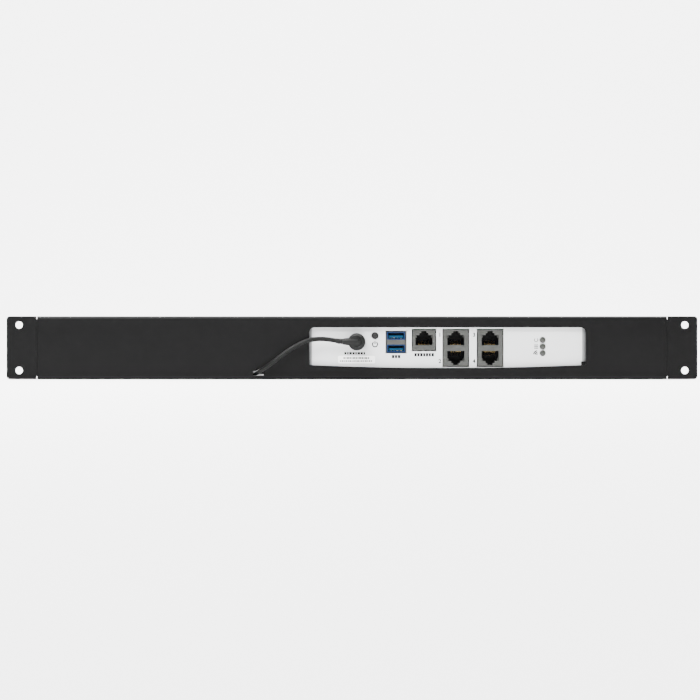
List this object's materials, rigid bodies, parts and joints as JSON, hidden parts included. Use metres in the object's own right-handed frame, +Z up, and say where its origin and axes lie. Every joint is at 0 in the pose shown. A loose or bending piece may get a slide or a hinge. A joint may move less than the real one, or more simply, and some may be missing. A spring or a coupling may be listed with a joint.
{
  "type": "rack mounted firewall appliance",
  "caption": "Small firewall appliance in a low rack tray, ports showing in a panel window, with its power adapter and coiled DC lead behind the panel.",
  "frame": {"origin": "on the surface the tray stands on, under the middle of the tray", "axes": "+X to the right seen from the front, -Y out of the front panel, +Z up"},
  "size_m": [0.4826, 0.2091, 0.044],
  "materials": {
    "tray_black": "fine-textured satin black powder coat on folded steel sheet",
    "case_grey": "light grey moulded plastic, satin",
    "shell_grey": "light grey painted steel sheet",
    "shield_steel": "dull plated steel",
    "screw_steel": "plated steel",
    "black_plastic": "black moulded plastic",
    "usb_blue": "blue moulded plastic",
    "foot_rubber": "black rubber",
    "label_white": "white printed film",
    "light_smoke": "smoky clear plastic light pipe",
    "button_dark": "dark grey moulded plastic",
    "board_green": "green solder mask on fibreglass",
    "sink_aluminium": "plain extruded aluminium",
    "adapter_black": "black moulded plastic with a fine spark texture",
    "lead_grey": "dark grey flexible PVC"
  },
  "bodies": {
    "chassis": {"adapter_base": "adapter_black", "adapter_board": "board_green", "adapter_clamp": "tray_black", "adapter_clamp_screw_left": "screw_steel", "adapter_clamp_screw_right": "screw_steel", "adapter_cover": "adapter_black", "adapter_transformer": "shield_steel", "board_screw_front_left": "screw_steel", "board_screw_front_right": "screw_steel", "board_screw_rear_left": "screw_steel", "board_screw_rear_right": "screw_steel", "case_base": "shell_grey", "case_cover": "shell_grey", "case_screw_left": "screw_steel", "case_screw_right": "screw_steel", "coil_tie": "foot_rubber", "coin_cell": "shield_steel", "console_insert": "black_plastic", "console_shield": "shield_steel", "dc_jack": "black_plastic", "dc_jack_pin": "screw_steel", "dc_lead_coil": "lead_grey", "dc_lead_front": "lead_grey", "dc_lead_rear": "lead_grey", "dc_plug": "lead_grey", "foot_front_left": "foot_rubber", "foot_front_right": "foot_rubber", "foot_rear_left": "foot_rubber", "foot_rear_right": "foot_rubber", "front_bezel": "case_grey", "front_stop_left": "tray_black", "front_stop_right": "tray_black", "front_stop_screw_left": "screw_steel", "front_stop_screw_right": "screw_steel", "heat_sink": "sink_aluminium", "input_capacitor": "black_plastic", "lan_insert_left": "black_plastic", "lan_insert_right": "black_plastic", "lan_shield_left": "shield_steel", "lan_shield_right": "shield_steel", "lead_strain_relief": "lead_grey", "main_board": "board_green", "mains_inlet": "black_plastic", "memory_chip": "black_plastic", "power_switch": "black_plastic", "processor": "black_plastic", "rack_tray": "tray_black", "rating_label": "label_white", "rear_retainer": "tray_black", "rear_retainer_screw_left": "screw_steel", "rear_retainer_screw_right": "screw_steel", "status_light_holder": "black_plastic", "status_light_lower": "light_smoke", "status_light_middle": "light_smoke", "status_light_upper": "light_smoke", "usb_insert_lower": "usb_blue", "usb_insert_upper": "usb_blue", "usb_shell": "shield_steel"},
    "power_button": {"power_button": "button_dark"}
  },
  "joints": [
    {"name": "power_button_press", "type": "slide", "parent": "chassis", "child": "power_button", "axis": [0, 1, 0], "range_m": [0, 0.0008], "stiffness_N_per_m": 1500}
  ]
}
